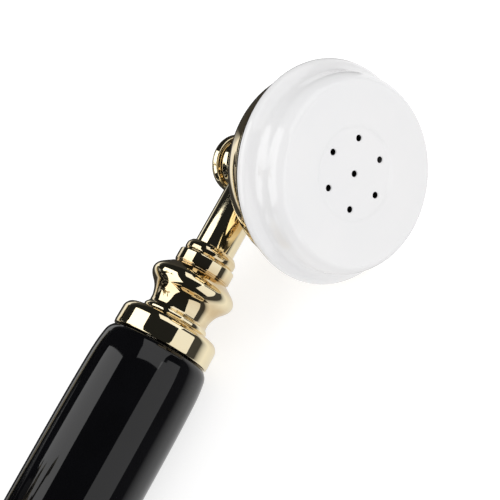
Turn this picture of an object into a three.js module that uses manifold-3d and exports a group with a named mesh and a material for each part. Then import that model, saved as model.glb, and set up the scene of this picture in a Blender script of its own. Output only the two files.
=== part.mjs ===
// French-style cradle telephone: a turned brass and black desk set with a dial, its handset off the hook.
// Millimetres, +Z up. The origin is the middle of the base's underside, the dial faces -Y and the handset
// lies along Y on the +X side. Every piece is one closed solid in its own named mesh.
import * as THREE from 'three';
import { mergeVertices } from 'three/addons/utils/BufferGeometryUtils.js';
import Module from 'manifold-3d';

const wasm = await Module();
wasm.setup();

// ---------------------------------------------------------------- driving dimensions
const GAP = 0.3;                    // between faces that touch on the bench
const FINE = 24, MEDIUM = 18, COARSE = 10;   // sides of a turned piece

// handset grip and the tube that ties its two ends together
const gripHalf = 48, gripEndRadius = 12, gripShoulderRadius = 14, gripBellyRadius = 14.3;
const gripShoulderLength = 7;
const tubeRadius = 5, tubeBore = 3.3, tubeEngagement = 8;
// brass fittings at each end of the grip
const collarLength = 6.5, collarRadius = 12.5;
const balusterLength = 19.8, balusterCove = 7.6, balusterBulge = 10.8, balusterBand = 7.2;
const stemReach = 50.5;             // grip end to the axis of the receiver
// receiver and transmitter heads
const headLean = 6 * Math.PI / 180; // each head leans away from the grip
const hubRadius = 6.6, hubBack = 8.1, hubFront = 7.6, hubBore = 2.6, spigotRadius = 4;
const knobRadius = 7.3, knobLength = 4.8;
const cupWall = 1.2, cupFlat = 8, cupRadius = 24.1, cupDepth = 15.4, cupBead = 1.3;
const capFlange = 26.5, capFlangeEdge = 0.8, capDrum = 23.6, capHeight = 11.9, capWall = 2.2;
const capDishDepth = 1, capDishRadius = 11, capSkirt = 1.8, capSkirtWall = 1.6;
const soundHoleRadius = 0.68, soundHoleCircle = 8.3, soundHolePhase = 23 * Math.PI / 180;
const capsuleThickness = 7, capsuleNeck = 8, capsuleNeckDepth = 2, nutRadius = 7, nutThickness = 2.4;
const cordBushBore = 1.9, glandBore = 3.4;
const leadRadius = 1;
// where the handset lies: from the foot ring's edge to the grip's axis
const handsetClear = 61;

// base
const baseRadius = 74.5, feltThickness = 1.5, footHeight = 8, footBulge = 2.5, plateThickness = 2;
const casingWall = 3, bandHeight = 9, casingTop = 88, neckRadius = 17;
const plateScrewInset = 20.5, screwRadius = 1.5;
const bushOuter = 3.6, bushSpread = 14 * Math.PI / 180;   // the cords' bushes, each side of the back's middle
// dial: its centre sits in from the base's edge, and a little under the middle of the bell's height
const dialTilt = 48 * Math.PI / 180, dialInset = 28.5, dialDrop = 3.55, drumRadius = 40, drumDepth = 36;
const bezelWidth = 4.4, wheelClear = 1.6, wheelThickness = 1.5, wheelRim = 3, holeWeb = 1.44;
const fingerHoles = 10, fingerPitch = 30 * Math.PI / 180, firstHoleAngle = 40 * Math.PI / 180;
const centreRadius = 13.6;
const stopAngle = -22 * Math.PI / 180, stopWidth = 4;
const shaftRadius = 3, gearModule = 0.8, wheelTeeth = 40, pinionTeeth = 10, gearThickness = 2;
const framePlateRadius = 27, frameDepth = 20, framePostCircle = 24, spindleRadius = 1.2;
// cradle
const neckRingHeight = 4.7, columnHeight = 24, barHeight = 6, barHalf = 42, barWidth = 16;
const tenonRadius = 2.5, forkThickness = 8, saddleRadius = 16, forkHeight = 26, forkRim = 5.5, hornBall = 3.8;
const hookTravel = 5, rodRadius = 2.6, rodReach = 18, padRadius = 9, padHeight = 6;
const springRadius = 4.4, springWire = 0.5, springTurns = 5, springBore = 6, springSeatDepth = 14;
// ringer and hook switch
const gongRadius = 18, gongHeight = 8.5, gongWall = 1.4, gongX = 27, gongY = 31, gongRim = 9;
const coilRadius = 6.5, coilLength = 17, coilSpread = 8, coilZ = 12.6, clapperLength = 24, clapperBall = 4;
const leverLength = 28, leverThickness = 2.4, contactGap = 3.3;
const sideX = 45, sideY = -3;        // condenser on the right, terminal block on the left

// ---------------------------------------------------------------- materials
const finish = (color, roughness, metalness) =>
  new THREE.MeshStandardMaterial({ color, roughness, metalness });
const brass = finish(0xd9b25a, 0.12, 1);
const black = finish(0x0b0b0c, 0.08, 0);
const white = finish(0xf1f1ee, 0.15, 0);
const steel = finish(0x9a9da0, 0.35, 1);
const rubber = finish(0x1a1a1a, 0.7, 0);
const felt = finish(0x1d2a22, 0.95, 0);
const copper = finish(0xb06a3a, 0.4, 1);
const phenolic = finish(0x5a3520, 0.5, 0);

// ---------------------------------------------------------------- geometry helpers
// A geometry with shared vertices, no empty triangles and its faces pointing out.
function closed(geometry) {
  const bare = geometry.clone();
  bare.deleteAttribute('normal');
  bare.deleteAttribute('uv');
  const merged = mergeVertices(bare, 1e-4);
  const index = [...merged.index.array];
  const p = merged.attributes.position;
  const kept = [];
  let volume = 0;
  const a = new THREE.Vector3(), b = new THREE.Vector3(), c = new THREE.Vector3();
  for (let i = 0; i < index.length; i += 3) {
    const [u, v, w] = index.slice(i, i + 3);
    if (u === v || v === w || w === u) continue;
    kept.push(u, v, w);
    a.fromBufferAttribute(p, u);
    b.fromBufferAttribute(p, v);
    c.fromBufferAttribute(p, w);
    volume += a.dot(b.cross(c));
  }
  if (volume < 0) {
    for (let i = 0; i < kept.length; i += 3) [kept[i], kept[i + 1]] = [kept[i + 1], kept[i]];
  }
  merged.setIndex(kept);
  return merged;
}

// The profile, a list of [radius, height], turned about Z. It starts and ends on the axis, or is closed here.
function turned(profile, sides = MEDIUM) {
  const points = profile.map(([r, z]) => new THREE.Vector2(r, z));
  if (points[0].x > 0) points.push(points[0].clone());
  const made = new THREE.LatheGeometry(points, sides);
  made.rotateX(Math.PI / 2);
  return closed(made);
}
const ring = (inner, outer, low, high, sides = MEDIUM) =>
  turned([[inner, low], [outer, low], [outer, high], [inner, high]], sides);
const rod = (radius, low, high, sides = COARSE) =>
  turned([[0, low], [radius, low], [radius, high], [0, high]], sides);
const block = (x, y, z, cx, cy, cz) => closed(new THREE.BoxGeometry(x, y, z).translate(cx, cy, cz));
const slab = (shape, depth, low, curveSegments = 12) =>
  closed(new THREE.ExtrudeGeometry(shape, { depth, bevelEnabled: false, curveSegments }).translate(0, 0, low));
const alongX = (geometry) => geometry.rotateY(Math.PI / 2);

// Points of an arc about [r, z], for use inside a profile.
function arc(r, z, radiusR, radiusZ, from, to, steps) {
  const points = [];
  for (let i = 0; i <= steps; i++) {
    const t = (from + (to - from) * i / steps) * Math.PI / 180;
    points.push([r + radiusR * Math.cos(t), z + radiusZ * Math.sin(t)]);
  }
  return points;
}

const toSolid = (geometry) => {
  const g = closed(geometry);
  return new wasm.Manifold(new wasm.Mesh({
    numProp: 3,
    vertProperties: g.attributes.position.array,
    triVerts: new Uint32Array(g.index.array),
  }));
};
function toGeometry(solid) {
  const mesh = solid.getMesh();
  const made = new THREE.BufferGeometry();
  made.setAttribute('position', new THREE.BufferAttribute(new Float32Array(mesh.vertProperties), 3));
  made.setIndex(new THREE.BufferAttribute(new Uint32Array(mesh.triVerts), 1));
  return made;
}
const cut = (body, ...tools) => toGeometry(tools.reduce((s, t) => s.subtract(toSolid(t)), toSolid(body)));
const join = (body, ...more) => toGeometry(more.reduce((s, t) => s.add(toSolid(t)), toSolid(body)));

const phone = new THREE.Group();
function add(name, geometry, material, parent = phone) {
  const mesh = new THREE.Mesh(geometry, material);
  mesh.name = name;
  parent.add(mesh);
  return mesh;
}

// ---------------------------------------------------------------- handset: grip and tie tube
// The handset's own frame has X along the grip, with the receiver at +X, and Z the way that the heads face.
const handset = new THREE.Group();
phone.add(handset);
const collarStart = gripHalf + GAP;
const balusterStart = collarStart + collarLength + GAP;
const headX = gripHalf + stemReach;
const tubeHalf = balusterStart + tubeEngagement;

const gripSide = (end) => [
  ...arc(gripEndRadius, end * (gripHalf - gripShoulderLength), gripShoulderRadius - gripEndRadius,
    end * gripShoulderLength, end > 0 ? 0 : 90, end > 0 ? 90 : 0, 3),
];
add('handset_grip', alongX(turned([
  [tubeRadius + GAP, -gripHalf], ...gripSide(-1),
  [gripBellyRadius, -gripHalf / 3], [gripBellyRadius, gripHalf / 3],
  ...gripSide(1), [tubeRadius + GAP, gripHalf],
], FINE)), black, handset);
add('handset_tie_tube', alongX(ring(tubeBore, tubeRadius, -tubeHalf, tubeHalf, COARSE)), steel, handset);

// ---------------------------------------------------------------- handset: the two ends
const bore = tubeRadius + GAP;
const stemStart = tubeHalf + GAP;
const stemEnd = headX - hubBore - 1.3;
const faceZ = hubFront + GAP + cupDepth + GAP + capHeight;  // rim of the cap's face, above the grip's axis
const flangeZ = faceZ - capHeight;                            // back of the cap's flange

function collar() {
  const end = collarStart + collarLength;
  return turned([
    [bore, collarStart], [collarRadius - 0.5, collarStart], [collarRadius, collarStart + 0.5],
    [collarRadius - 0.15, end - 1.3], [collarRadius - 0.6, end - 0.4], [collarRadius - 1.5, end], [bore, end],
  ], FINE);
}

function baluster() {
  const a = balusterStart, end = a + balusterLength, bead = balusterBand - 0.7;
  return turned([
    [bore, a], [balusterCove + 0.7, a], [balusterCove + 0.7, a + 1.3], [balusterCove, a + 2.4],
    [balusterCove, a + 3.8], [balusterCove + 0.5, a + 5.4],
    [balusterBulge - 1.6, a + 7], [balusterBulge - 0.3, a + 8.4], [balusterBulge, a + 9.5],
    [balusterBulge - 0.4, a + 10.7], [balusterBulge - 1.7, a + 11.9], [balusterBand + 0.5, a + 13],
    [balusterBand - 0.5, a + 13.5], [balusterBand, a + 14.1], [balusterBand, a + 16.8],
    [bead - 0.4, a + 17.1],
    [bead, a + 17.7], [bead, a + 18.7], [tubeRadius + 0.7, end], [bore, end],
  ], MEDIUM);
}

// The hub is a turned tee: the stem enters its side and its spigot passes through the cup's back.
function hub() {
  const spigotTop = hubFront + GAP + cupWall + GAP + nutThickness;
  const body = turned([
    [hubBore, -hubBack], [hubRadius - 0.9, -hubBack], [hubRadius - 0.9, 0.9 - hubBack],
    [hubRadius + 0.2, 1.6 - hubBack],
    [hubRadius, 2.8 - hubBack], [hubRadius, hubFront - 1.6],
    [hubRadius + 0.8, hubFront - 0.8], [hubRadius + 0.8, hubFront], [spigotRadius, hubFront],
    [spigotRadius, spigotTop], [hubBore, spigotTop],
  ]);
  const lie = (g) => alongX(g).rotateY(-headLean);
  return cut(body, lie(rod(bore, -4 * hubRadius, -hubBore - 1, MEDIUM)), lie(rod(hubBore, -hubRadius, 0)));
}

function cup() {
  const back = hubFront + GAP, rim = back + cupDepth, knee = rim - 1.4;
  return turned([
    [spigotRadius + GAP, back], ...arc(cupFlat, knee, cupRadius - cupFlat, knee - back, -90, 0, 5),
    [cupRadius + cupBead, knee + 0.5], [cupRadius + cupBead, rim], [cupRadius - cupWall, rim],
    ...arc(cupFlat, knee, cupRadius - cupFlat - cupWall, knee - back - cupWall, 0, -90, 4),
    [spigotRadius + GAP, back + cupWall],
  ], FINE);
}

// The cap screws into the cup by its skirt. Its face is dished and has seven sound holes.
function cap() {
  const skirt = cupRadius - cupWall - GAP, inside = skirt - capSkirtWall;
  const floor = faceZ - capDishDepth - capWall;
  const body = turned([
    [inside, flangeZ - capSkirt], [skirt, flangeZ - capSkirt], [skirt, flangeZ], [capFlange - 0.5, flangeZ],
    [capFlange, flangeZ + capFlangeEdge], [capFlange, flangeZ + 1.8], [capFlange - 0.6, flangeZ + 2.6],
    [capDrum + 1.1, flangeZ + 3.4], [capDrum, flangeZ + 5],
    ...arc(capDrum - 2.2, faceZ - 2.2, 2.2, 2.2, 0, 90, 3),
    [capDishRadius, faceZ - capDishDepth + 0.2], [capDishRadius - 0.4, faceZ - capDishDepth],
    [0, faceZ - capDishDepth],
    [0, floor], [inside, floor],
  ], FINE);
  const holes = [rod(soundHoleRadius, floor - 1, faceZ + 1, 6)];
  for (let i = 0; i < 6; i++) {
    const t = soundHolePhase + i * Math.PI / 3;
    holes.push(rod(soundHoleRadius, floor - 1, faceZ + 1, 6)
      .translate(soundHoleCircle * Math.cos(t), soundHoleCircle * Math.sin(t), 0));
  }
  return cut(body, ...holes);
}

// The capsule is clamped between the cap's floor and the cup, with a narrower terminal boss on its back.
const capsuleTop = faceZ - capDishDepth - capWall - GAP, capsuleLow = capsuleTop - capsuleThickness;
const capsuleBack = capsuleLow - capsuleNeckDepth;
function capsule() {
  const radius = cupRadius - cupWall - capSkirtWall - 2 * GAP;
  return turned([
    [0, capsuleBack], [capsuleNeck, capsuleBack], [capsuleNeck, capsuleLow], [radius - 1, capsuleLow],
    [radius, capsuleLow + 1], [radius, capsuleTop], [0, capsuleTop],
  ], MEDIUM);
}

for (const [side, turn] of [['ear', 0], ['mouth', Math.PI]]) {
  const end = new THREE.Group();
  end.rotation.z = turn;
  handset.add(end);
  add(side + '_collar', alongX(collar()), brass, end);
  add(side + '_baluster', alongX(baluster()), brass, end);
  add(side + '_stem', alongX(ring(tubeBore, tubeRadius, stemStart, stemEnd)), brass, end);
  const head = new THREE.Group();
  head.position.x = headX;
  head.rotation.y = headLean;
  end.add(head);
  add(side + '_hub', hub(), brass, head);
  add(side + '_cup', cup(), brass, head);
  const nutLow = hubFront + GAP + cupWall + GAP;
  add(side + '_ring_nut', cut(rod(nutRadius, nutLow, nutLow + nutThickness, 6),
    rod(spigotRadius + GAP, nutLow - 1, nutLow + nutThickness + 1, MEDIUM)), steel, head);
  add(side + '_cap', cap(), white, head);
  add(side + '_capsule', capsule(), steel, head);

  const knobTop = -hubBack - GAP;
  if (side === 'ear') {
    add('ear_knob', turned([
      [0, knobTop - knobLength], [3.2, knobTop - knobLength + 0.4], [5.4, knobTop - knobLength + 1.5],
      [6.1, knobTop - 2.4], [knobRadius - 0.4, knobTop - 2.1],
      [knobRadius, knobTop - 1.5], [knobRadius, knobTop - 0.7],
      [knobRadius - 0.5, knobTop], [hubBore - GAP, knobTop], [hubBore - GAP, knobTop + 3.2],
      [0, knobTop + 3.2],
    ]), brass, head);
  } else {
    add('mouth_gland_nut', turned([
      [glandBore, knobTop - knobLength], [5.2, knobTop - knobLength], [6.1, knobTop - 2.6],
      [knobRadius - 0.4, knobTop - 2.1], [knobRadius, knobTop - 1.5], [knobRadius, knobTop - 0.7],
      [knobRadius - 0.5, knobTop], [glandBore, knobTop],
    ]), brass, head);
    const bushLow = knobTop - knobLength - 1.2;
    add('mouth_cord_bush', ring(cordBushBore, glandBore - GAP, bushLow, knobTop, COARSE), rubber, head);
  }
}

// The leads run from one capsule to the other through the hubs, stems and tie tube.
const headAxis = new THREE.Vector3(Math.sin(headLean), 0, Math.cos(headLean));
const leadTop = headAxis.clone().multiplyScalar(capsuleBack - GAP);
const leadTurn = headAxis.clone().multiplyScalar(1.6);
const leadPath = new THREE.CurvePath();
const mirrored = (v) => new THREE.Vector3(-v.x, v.y, v.z);
const atHead = (v) => v.clone().add(new THREE.Vector3(headX, 0, 0));
const leadPoints = [atHead(leadTop), atHead(leadTurn), atHead(new THREE.Vector3(-1.6, 0, 0))];
leadPath.add(new THREE.LineCurve3(leadPoints[0], leadPoints[1]));
leadPath.add(new THREE.QuadraticBezierCurve3(leadPoints[1], atHead(new THREE.Vector3()), leadPoints[2]));
leadPath.add(new THREE.LineCurve3(leadPoints[2], mirrored(leadPoints[2])));
leadPath.add(new THREE.QuadraticBezierCurve3(mirrored(leadPoints[2]), mirrored(atHead(new THREE.Vector3())),
  mirrored(leadPoints[1])));
leadPath.add(new THREE.LineCurve3(mirrored(leadPoints[1]), mirrored(leadPoints[0])));
const leadSection = new THREE.Shape().absarc(0, 0, leadRadius, 0, 2 * Math.PI);
add('handset_leads', closed(new THREE.ExtrudeGeometry(leadSection, {
  steps: 52, extrudePath: leadPath, curveSegments: 3, bevelEnabled: false,
})), copper, handset);

// The handset lies on its side, carried by the grip's belly and both caps' flanges. This finds its roll.
const rimZ = flangeZ + capFlangeEdge;
const rimHeight = (roll) => gripBellyRadius + rimZ * Math.cos(headLean) * Math.sin(roll)
  - capFlange * Math.sqrt(1 - (Math.cos(headLean) * Math.sin(roll)) ** 2);
let low = 0, high = Math.PI / 2;
for (let i = 0; i < 40; i++) {
  const middle = (low + high) / 2;
  if (rimHeight(middle) < 0) low = middle;
  else high = middle;
}
const roll = high;
handset.setRotationFromMatrix(new THREE.Matrix4().makeBasis(
  new THREE.Vector3(0, 1, 0),
  new THREE.Vector3(-Math.sin(roll), 0, Math.cos(roll)),
  new THREE.Vector3(Math.cos(roll), 0, Math.sin(roll)),
));
handset.position.set(baseRadius + footBulge + handsetClear, 0, gripBellyRadius);

// ---------------------------------------------------------------- base: underside, foot and casing
// The plate's three screws pull it up against the foot ring's inner flange and clamp the ring to the casing.
const footLow = feltThickness + GAP, footTop = footLow + footHeight;
const casingLow = footTop + GAP, plateLow = footLow, plateTop = plateLow + plateThickness;
const footInner = baseRadius - 8, lugTop = plateTop + 2.3;
add('felt_pad', rod(baseRadius - 2, 0, feltThickness, FINE), felt);
add('foot_ring', turned([
  [footInner, footLow], ...arc(baseRadius, footLow + footHeight / 2, footBulge, footHeight / 2, -90, 90, 4),
  [footInner, footTop], [footInner, lugTop], [footInner - 6, lugTop], [footInner - 6, plateTop + GAP],
  [footInner, plateTop + GAP],
], FINE), brass);

const bandTop = casingLow + bandHeight;
const dialY = dialInset - baseRadius, dialZ = (bandTop + casingTop) / 2 - dialDrop;
// The bell sweeps from the shoulder above the band up to the neck, on a quarter of a superellipse.
function bell(inset) {
  const foot = baseRadius - 5 - inset, neck = neckRadius - inset, steps = 7, points = [];
  const low = bandTop + 3 - inset, high = casingTop - 6;
  for (let i = 0; i <= steps; i++) {
    const t = (i / steps) * Math.PI / 2;
    points.push([foot - (foot - neck) * Math.sin(t) ** 1.1, high - (high - low) * Math.cos(t) ** 1.1]);
  }
  return points;
}
const screwAngles = [75, 205, 335].map((d) => d * Math.PI / 180);
const plateScrewCircle = baseRadius - plateScrewInset;
const atAngle = (g, radius, t) => g.translate(radius * Math.cos(t), radius * Math.sin(t), 0);
const dialPlace = (g) => g.rotateX(dialTilt).translate(0, dialY, dialZ);

function casing() {
  const outside = turned([
    [0, casingLow], [baseRadius, casingLow], [baseRadius, bandTop - 1.5], [baseRadius - 0.6, bandTop - 0.3],
    [baseRadius - 2, bandTop + 0.4], ...bell(0), [neckRadius, casingTop], [0, casingTop],
  ], FINE);
  const inside = turned([
    [0, casingLow - 1], [baseRadius - casingWall, casingLow - 1], [baseRadius - casingWall, bandTop - 2],
    ...bell(casingWall), [neckRadius - casingWall, casingTop - casingWall], [0, casingTop - casingWall],
  ], FINE);
  const drum = dialPlace(rod(drumRadius, -drumDepth, 0, FINE));
  const drumInside = dialPlace(rod(drumRadius - casingWall, -drumDepth + casingWall, 1, FINE));
  const under = rod(3 * baseRadius, -2 * baseRadius, casingLow, MEDIUM);
  let shell = toSolid(outside).add(toSolid(drum)).subtract(toSolid(inside)).subtract(toSolid(drumInside));
  shell = shell.subtract(toSolid(under));
  for (const t of screwAngles) {
    const boss = toSolid(atAngle(rod(4.5, plateTop + GAP, bandTop + 8), plateScrewCircle, t));
    shell = shell.add(boss.intersect(toSolid(outside).add(toSolid(rod(footInner, 0, casingLow + 1, FINE)))));
    shell = shell.subtract(toSolid(atAngle(rod(screwRadius + GAP, 0, plateTop + 9), plateScrewCircle, t)));
  }
  for (const x of [-1, 1]) shell = shell.subtract(toSolid(bushPlace(rod(bushOuter, -20, 20), x)));
  shell = shell.subtract(toSolid(rod(rodRadius + 0.6, casingTop - 2 * casingWall, casingTop + 1)));
  return toGeometry(shell);
}
// The cords' rubber bushes sit in the back of the band, one each side of the middle.
const bushPlace = (g, side) => g.rotateX(-Math.PI / 2).translate(0, baseRadius, casingLow + bandHeight / 2)
  .rotateZ(-side * bushSpread);
add('casing', casing(), black);
for (const [name, side] of [['line_cord_bush', -1], ['handset_cord_bush', 1]]) {
  add(name, bushPlace(turned([
    [cordBushBore, 2.5], [bushOuter + 1.4, 2.5], [bushOuter + 1.4, 0.6], [bushOuter - GAP, 0.6],
    [bushOuter - GAP, -casingWall - 2], [cordBushBore, -casingWall - 2],
  ], COARSE), side), rubber);
}
const countersink = (slack) => [
  [0, plateLow + 0.2 - slack], [3 + slack, plateLow + 0.2 - slack], [screwRadius + slack, plateTop - 0.3],
];
const screwHole = (t) => atAngle(turned([
  ...countersink(GAP), [screwRadius + GAP, plateTop + 1], [0, plateTop + 1],
], COARSE), plateScrewCircle, t);
add('base_plate', cut(rod(footInner - GAP, plateLow, plateTop, FINE), ...screwAngles.map(screwHole)), steel);
screwAngles.forEach((t, i) => add('plate_screw_' + (i + 1), atAngle(turned([
  ...countersink(0), [screwRadius, plateTop + 8], [0, plateTop + 8],
], COARSE), plateScrewCircle, t), steel));

// ---------------------------------------------------------------- cradle: neck, column, bar and forks
const rodHole = rodRadius + 0.6;
const ringLow = casingTop + GAP, ringTop = ringLow + neckRingHeight;
add('neck_ring', turned([
  [rodHole, ringLow], [neckRadius + 1, ringLow], ...arc(neckRadius + 1, ringLow + 1.8, 1.8, 1.5, -50, 90, 4),
  [neckRadius - 1, ringTop - 1], [neckRadius - 2, ringTop], [rodHole, ringTop],
]), brass);

const columnLow = ringTop + GAP, columnTop = columnLow + columnHeight;
const springSeat = columnTop - springSeatDepth;
add('column', turned([
  [rodHole, columnLow], [14, columnLow], [14.4, columnLow + 1.4], [12, columnLow + 2.6], [9.2, columnLow + 5],
  [8.6, columnLow + 7.5], [9.4, columnLow + 9.6], [11.6, columnLow + 11.4], [12.6, columnLow + 13.4],
  [11.6, columnLow + 15.4], [9.6, columnLow + 17], [9.2, columnLow + 18.2], [11, columnLow + 20],
  [13.4, columnLow + 21.8], [13.6, columnTop],
  [springBore, columnTop], [springBore, springSeat], [rodHole, springSeat],
]), brass);

const barLow = columnTop + GAP, barTop = barLow + barHeight;
function bar() {
  const half = barHalf - 8, narrow = barWidth / 2 - 2, boss = 15;
  const shape = new THREE.Shape();
  const bossAngle = Math.asin(narrow / boss);
  shape.moveTo(boss * Math.cos(bossAngle), narrow);
  shape.absarc(0, 0, boss, bossAngle, Math.PI - bossAngle, false);
  shape.lineTo(-half, narrow);
  shape.absarc(-barHalf, 0, barWidth / 2, Math.PI / 4, 2 * Math.PI - Math.PI / 4, false);
  shape.lineTo(-half, -narrow);
  shape.absarc(0, 0, boss, Math.PI + bossAngle, 2 * Math.PI - bossAngle, false);
  shape.lineTo(half, -narrow);
  shape.absarc(barHalf, 0, barWidth / 2, Math.PI + Math.PI / 4, 3 * Math.PI - Math.PI / 4, false);
  shape.lineTo(half, narrow);
  const socket = (s) => rod(tenonRadius + GAP, barLow - 1, barTop + 1).translate(s * barHalf, 0, 0);
  const middle = rod(springBore, barLow - 1, barTop + 1, MEDIUM);
  return cut(slab(shape, barHeight, barLow, 8), middle, socket(-1), socket(1));
}
add('cradle_bar', bar(), brass);

// A fork is a U that opens upwards round the grip, with a ball on each horn and a tenon in the bar's socket.
const forkLow = barTop + GAP;
const saddleLow = forkLow + 8;      // the grip rests here when the handset is hung up
const saddleCentre = saddleLow + saddleRadius;
function fork() {
  const outer = saddleRadius + forkRim, spread = 62 * Math.PI / 180, foot = 7;
  const hornY = saddleRadius + 3.2, hornZ = forkLow + forkHeight;
  const shape = new THREE.Shape();   // drawn in the fork's plane, as (y, z)
  shape.moveTo(-foot, forkLow);
  shape.lineTo(foot, forkLow);
  const side = (s) => [
    [s * (foot - 1), forkLow + 1.5],
    ...arc(0, saddleCentre, outer, outer, s > 0 ? -72 : 198, s > 0 ? -20 : 252, 5),
    [s * (outer + 0.6), hornZ - 4], [s * (hornY + 2.4), hornZ],
  ];
  const right = side(1);
  right.forEach(([y, z]) => shape.lineTo(y, z));
  shape.lineTo(hornY - 2, hornZ);
  const inner = arc(0, saddleCentre, saddleRadius, saddleRadius, -10, -170, 10);
  inner.forEach(([y, z]) => shape.lineTo(y, z));
  shape.lineTo(-(hornY - 2), hornZ);
  right.slice().reverse().forEach(([y, z]) => shape.lineTo(-y, z));
  const plate = slab(shape, forkThickness, -forkThickness / 2)
    .applyMatrix4(new THREE.Matrix4().makeBasis(
      new THREE.Vector3(0, 1, 0), new THREE.Vector3(0, 0, 1), new THREE.Vector3(1, 0, 0)));
  const balls = [-1, 1].map((s) => closed(new THREE.SphereGeometry(hornBall, 12, 8))
    .translate(0, s * (hornY + 0.2), hornZ + hornBall - 1));
  return join(plate, ...balls, rod(tenonRadius, barLow + 0.5, forkLow + 1));
}
for (const [name, s] of [['left', -1], ['right', 1]]) {
  add('cradle_fork_' + name, fork().translate(s * barHalf, 0, 0), brass);
}

// ---------------------------------------------------------------- hook: pad, rod, spring, lever and contacts
const padTop = saddleLow + hookTravel - 0.5, padLow = padTop - padHeight;
const rodTip = dialZ - rodReach, rodTop = padLow - GAP;
add('hook_pad', turned([
  [0, padLow], [padRadius - 0.6, padLow], [padRadius, padLow + 0.8], [padRadius, padLow + 3.4],
  [padRadius - 1.2, padTop - 1], [padRadius - 4, padTop - 0.2], [0, padTop],
]), black);
add('hook_rod', turned([
  [0, rodTip], [0.9, rodTip], [rodRadius, rodTip + 2], [rodRadius, rodTop], [0, rodTop],
], COARSE), steel);

// A helix of round wire about Z, between two heights.
function coil(radius, wire, from, to, turns) {
  class Helix extends THREE.Curve {
    getPoint(t, target = new THREE.Vector3()) {
      const a = 2 * Math.PI * turns * t;
      return target.set(radius * Math.cos(a), radius * Math.sin(a), from + wire + (to - from - 2 * wire) * t);
    }
  }
  const section = new THREE.Shape().absarc(0, 0, wire, 0, 2 * Math.PI);
  return closed(new THREE.ExtrudeGeometry(section, {
    steps: turns * 10, extrudePath: new Helix(), curveSegments: 2, bevelEnabled: false,
  }));
}
add('hook_spring', coil(springRadius, springWire, springSeat + GAP, padLow - GAP, springTurns), steel);

// The rod presses a lever, pivoted on a stand, that works the switch contacts.
const leverTop = rodTip - GAP, leverPivotZ = leverTop - leverThickness / 2;
const leverPlace = (g) => g.rotateZ(Math.PI / 2);
const standLow = plateTop + GAP, standTop = leverPivotZ + 4, pinRadius = 1;
const across = (radius, half, sides = COARSE) =>
  rod(radius, -half, half, sides).rotateY(Math.PI / 2).translate(0, leverLength, leverPivotZ);
add('hook_lever', leverPlace(cut(join(
  block(8, leverLength + 3, leverThickness, 0, (leverLength - 3) / 2, leverPivotZ),
  across(leverThickness / 2 + 1.4, 4),
), across(pinRadius + GAP, 6))), steel);
add('lever_stand', leverPlace(join(
  block(17, 12, 2.5, 0, leverLength, standLow + 1.25),
  ...[-1, 1].map((s) => block(2, 9, standTop - standLow, s * 6.5, leverLength, (standTop + standLow) / 2)),
  across(pinRadius, 9),
)), steel);
const contactReach = 18, contactZ = leverPivotZ - leverThickness / 2 - contactGap;
add('switch_contacts', leverPlace(join(
  block(9, 6, contactZ - 1 - standLow, 0, contactReach, (contactZ - 1 + standLow) / 2),
  block(5, 10, 1.2, 0, contactReach - 1, contactZ - 0.6),
)), phenolic);

// ---------------------------------------------------------------- dial
// The dial's own frame has Z out of its face and Y up the face.
const dial = new THREE.Group();
dial.rotation.x = dialTilt;
dial.position.set(0, dialY, dialZ);
phone.add(dial);
const backLow = -2.2, plateFace = 1.4;
const wheelLow = 3.6, wheelTop = wheelLow + wheelThickness;
const numberPlateRadius = drumRadius - bezelWidth, wheelRadius = numberPlateRadius - wheelClear;
// The finger holes are as large as the rim and the webs between them leave room for.
const fingerHoleCircle = (wheelRadius - wheelRim + holeWeb / 2) / (1 + Math.sin(fingerPitch / 2));
const fingerHoleRadius = wheelRadius - wheelRim - fingerHoleCircle;
add('dial_bezel', turned([
  [numberPlateRadius + GAP, GAP], [drumRadius + 1, GAP], ...arc(drumRadius, 1.5, 1.4, 1.2, -30, 90, 4),
  [numberPlateRadius + 1.6, 2.9], [numberPlateRadius + GAP, 2],
], FINE), brass, dial);
add('number_plate', ring(shaftRadius + GAP, numberPlateRadius, GAP, plateFace, FINE), white, dial);

function fingerWheel() {
  const disc = turned([
    [shaftRadius + GAP, wheelLow], [wheelRadius - 0.4, wheelLow], [wheelRadius, wheelLow + 0.5],
    [wheelRadius, wheelTop - 0.3], [wheelRadius - 0.5, wheelTop], [shaftRadius + GAP, wheelTop],
  ], FINE);
  const holes = [];
  for (let i = 0; i < fingerHoles; i++) {
    const t = firstHoleAngle + i * fingerPitch;
    holes.push(atAngle(rod(fingerHoleRadius, wheelLow - 1, wheelTop + 1, 14), fingerHoleCircle, t));
  }
  return cut(disc, ...holes);
}
add('finger_wheel', fingerWheel(), brass, dial);
add('dial_centre', turned([
  [0, wheelTop + GAP], [centreRadius - 0.6, wheelTop + GAP], [centreRadius, wheelTop + 0.8],
  [centreRadius - 0.2, wheelTop + 1.4], [centreRadius - 2.6, wheelTop + 2.2],
  [centreRadius - 3.2, wheelTop + 2.1], [5, wheelTop + 2.8], [0, wheelTop + 3],
]), brass, dial);

// The stop is a hooked strip on the bezel that reaches in over the finger wheel.
const stopInner = fingerHoleCircle - 3, stopLow = wheelTop + 0.8;
const fingerStop = join(
  block(drumRadius - stopInner, stopWidth, 1.2, (drumRadius + stopInner) / 2, 0, stopLow + 0.6),
  block(2, stopWidth + 2, stopLow + 1.2 - 3.1, drumRadius - 1, 0, (stopLow + 1.2 + 3.1) / 2),
);
add('finger_stop', fingerStop.rotateZ(stopAngle), steel, dial);

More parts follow.
